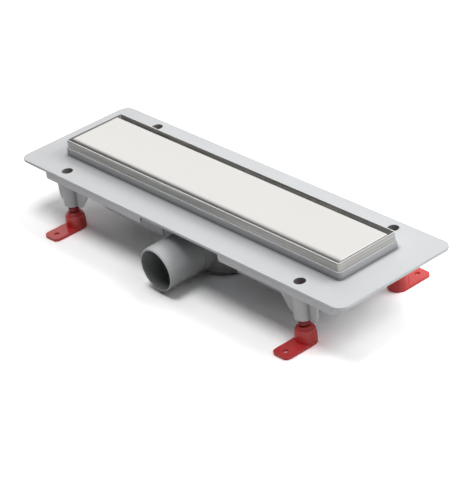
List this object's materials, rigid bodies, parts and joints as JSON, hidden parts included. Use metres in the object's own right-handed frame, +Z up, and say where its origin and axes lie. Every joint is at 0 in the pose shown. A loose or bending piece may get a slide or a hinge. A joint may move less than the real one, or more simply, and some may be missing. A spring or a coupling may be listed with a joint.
{
  "type": "floor drain",
  "caption": "Shower channel drain with a wide sealing flange, a brushed steel frame and cover, a side outlet and screw legs.",
  "frame": {"origin": "on the floor the feet stand on, under the middle of the drain", "axes": "+X along the channel to the right as seen from the outlet side, +Y across it away from the outlet, +Z up"},
  "size_m": [0.52, 0.2048, 0.0885],
  "materials": {
    "moulded_body": "fine satin, light grey",
    "moulded_trap": "satin, light grey",
    "insert_plastic": "satin, off white",
    "frame_steel": "brushed along its length",
    "cover_steel": "fine brushed along its length",
    "zinc_screw": "zinc plated",
    "seal_rubber": "matt black",
    "rest_rubber": "matt black",
    "leg_plastic": "semi gloss red",
    "spindle_plastic": "semi gloss dark red"
  },
  "bodies": {
    "drain": {"channel_body": "moulded_body", "trap_housing": "moulded_trap", "housing_gasket": "seal_rubber", "housing_screws": "zinc_screw", "dip_tube": "insert_plastic", "tube_seal": "seal_rubber", "trap_cup": "insert_plastic", "strainer": "insert_plastic", "frame": "frame_steel", "cover": "cover_steel", "support_bar_left": "frame_steel", "support_bar_right": "frame_steel", "rest_front_left": "rest_rubber", "rest_back_left": "rest_rubber", "rest_front_right": "rest_rubber", "rest_back_right": "rest_rubber"},
    "foot_front_left": {"foot_front_left": "leg_plastic"},
    "spindle_front_left": {"spindle_front_left": "spindle_plastic"},
    "foot_front_right": {"foot_front_right": "leg_plastic"},
    "spindle_front_right": {"spindle_front_right": "spindle_plastic"},
    "foot_back_left": {"foot_back_left": "leg_plastic"},
    "spindle_back_left": {"spindle_back_left": "spindle_plastic"},
    "foot_back_right": {"foot_back_right": "leg_plastic"},
    "spindle_back_right": {"spindle_back_right": "spindle_plastic"}
  },
  "joints": [
    {"name": "leg_front_left_slide", "type": "slide", "parent": "drain", "child": "foot_front_left", "axis": [0, 0, -1], "range_m": [-0.0085, 0.02]},
    {"name": "spindle_front_left_turn", "type": "hinge", "parent": "foot_front_left", "child": "spindle_front_left", "pos_m": [-0.1885, -0.0646, 0.045], "axis": [0, 0, -1], "range_deg": [-1021, 2401]},
    {"name": "leg_front_right_slide", "type": "slide", "parent": "drain", "child": "foot_front_right", "axis": [0, 0, -1], "range_m": [-0.0085, 0.02]},
    {"name": "spindle_front_right_turn", "type": "hinge", "parent": "foot_front_right", "child": "spindle_front_right", "pos_m": [0.1885, -0.0646, 0.045], "axis": [0, 0, -1], "range_deg": [-1021, 2401]},
    {"name": "leg_back_left_slide", "type": "slide", "parent": "drain", "child": "foot_back_left", "axis": [0, 0, -1], "range_m": [-0.0085, 0.02]},
    {"name": "spindle_back_left_turn", "type": "hinge", "parent": "foot_back_left", "child": "spindle_back_left", "pos_m": [-0.1885, 0.0646, 0.045], "axis": [0, 0, -1], "range_deg": [-1021, 2401]},
    {"name": "leg_back_right_slide", "type": "slide", "parent": "drain", "child": "foot_back_right", "axis": [0, 0, -1], "range_m": [-0.0085, 0.02]},
    {"name": "spindle_back_right_turn", "type": "hinge", "parent": "foot_back_right", "child": "spindle_back_right", "pos_m": [0.1885, 0.0646, 0.045], "axis": [0, 0, -1], "range_deg": [-1021, 2401]}
  ],
  "couplings": [
    {"joint": "spindle_front_left_turn", "follows": "leg_front_left_slide", "rad_per_m": 2094.4},
    {"joint": "spindle_front_right_turn", "follows": "leg_front_right_slide", "rad_per_m": 2094.4},
    {"joint": "spindle_back_left_turn", "follows": "leg_back_left_slide", "rad_per_m": 2094.4},
    {"joint": "spindle_back_right_turn", "follows": "leg_back_right_slide", "rad_per_m": 2094.4}
  ]
}
